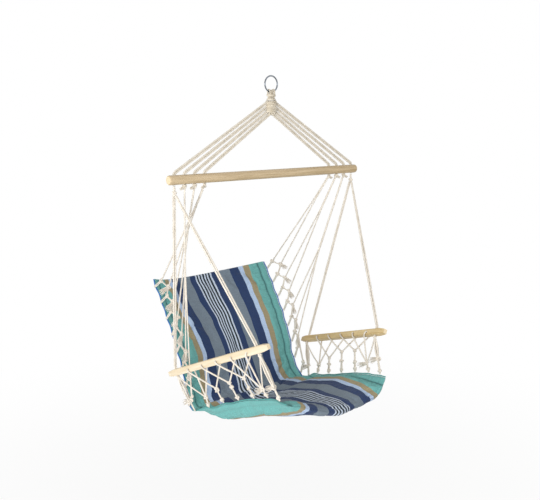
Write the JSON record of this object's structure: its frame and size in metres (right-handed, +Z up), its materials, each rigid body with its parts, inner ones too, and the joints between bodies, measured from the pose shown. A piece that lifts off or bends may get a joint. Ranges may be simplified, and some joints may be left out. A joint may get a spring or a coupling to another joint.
{
  "type": "hanging hammock chair",
  "caption": "Hanging cord chair: steel ring, knotted neck, cord fan, drilled wooden spreader bar, padded striped seat and back on knotted side nets, wooden armrests.",
  "frame": {"origin": "inside top of the steel ring, where the hook bears, on the chair's middle plane", "axes": "+X to the sitter's left along the spreader bar, -Y the way the sitter looks, +Z up"},
  "size_m": [0.8, 0.753, 1.1562],
  "materials": {
    "ring_steel": "bent and welded steel wire, nickel plated and polished",
    "cotton_cord": "undyed three-strand twisted cotton cord, soft and slightly fuzzy, with frayed ends",
    "bar_wood": "turned pale hardwood dowel, sanded and lightly waxed, fine lengthwise grain",
    "arm_wood": "planed pale hardwood strip with broken corners, satin clear finish",
    "striped_canvas": "yarn-dyed cotton canvas, plain weave, woven in lengthwise stripes of teal, khaki, light blue, navy and slate, over soft padding",
    "blue_piping": "blue cotton bias binding over a cord"
  },
  "bodies": {
    "ring": {"steel_ring": "ring_steel"},
    "neck_loop": {"neck_loops": "cotton_cord"},
    "first_knot": {"top_knot": "cotton_cord"},
    "yoke": {"knotted_neck": "cotton_cord", "fan_cords_right_1": "cotton_cord", "fan_cords_right_2": "cotton_cord", "fan_cords_right_3": "cotton_cord", "fan_cords_right_4": "cotton_cord", "fan_cords_left_1": "cotton_cord", "fan_cords_left_2": "cotton_cord", "fan_cords_left_3": "cotton_cord", "fan_cords_left_4": "cotton_cord", "spreader_bar": "bar_wood"},
    "sling": {"seat_pad": "striped_canvas", "seat_piping_right": "blue_piping", "seat_piping_left": "blue_piping", "arm_yoke_knot_right": "cotton_cord", "arm_yoke_knot_left": "cotton_cord", "back_net_right": "cotton_cord", "back_net_left": "cotton_cord", "arm_net_right": "cotton_cord", "arm_net_left": "cotton_cord"},
    "back": {"back_pad": "striped_canvas", "back_piping_right": "blue_piping", "back_piping_left": "blue_piping"},
    "right_arm": {"armrest_right": "arm_wood", "arm_cords_right_rear": "cotton_cord", "arm_cords_right_front": "cotton_cord"},
    "left_arm": {"armrest_left": "arm_wood", "arm_cords_left_rear": "cotton_cord", "arm_cords_left_front": "cotton_cord"}
  },
  "joints": [
    {"name": "neck_swing", "type": "hinge", "parent": "ring", "child": "neck_loop", "pos_m": [0, 0, -0.0498], "axis": [1, 0, 0], "range_deg": [-35, 35]},
    {"name": "neck_lean", "type": "hinge", "parent": "neck_loop", "child": "first_knot", "pos_m": [0, 0, -0.0646], "axis": [0, 1, 0], "range_deg": [-25, 25]},
    {"name": "neck_twist", "type": "hinge", "parent": "first_knot", "child": "yoke", "pos_m": [0, 0, -0.0759], "axis": [0, 0, 1], "range_deg": [-90, 90]},
    {"name": "sling_swing", "type": "hinge", "parent": "yoke", "child": "sling", "pos_m": [0, 0, -0.3378], "axis": [1, 0, 0], "range_deg": [-25, 25]},
    {"name": "back_fold", "type": "hinge", "parent": "sling", "child": "back", "pos_m": [0, 0.115, -1.1248], "axis": [1, 0, 0], "range_deg": [0, 40], "deforming": ["back_net_right", "back_net_left"]},
    {"name": "right_arm_swing", "type": "hinge", "parent": "sling", "child": "right_arm", "pos_m": [-0.379, 0, -0.3597], "axis": [-0.1139, -0.2116, 0.9707], "range_deg": [0, 15], "deforming": ["arm_net_right"]},
    {"name": "left_arm_swing", "type": "hinge", "parent": "sling", "child": "left_arm", "pos_m": [0.379, 0, -0.3597], "axis": [-0.1111, 0.2203, -0.9691], "range_deg": [0, 15], "deforming": ["arm_net_left"]}
  ]
}
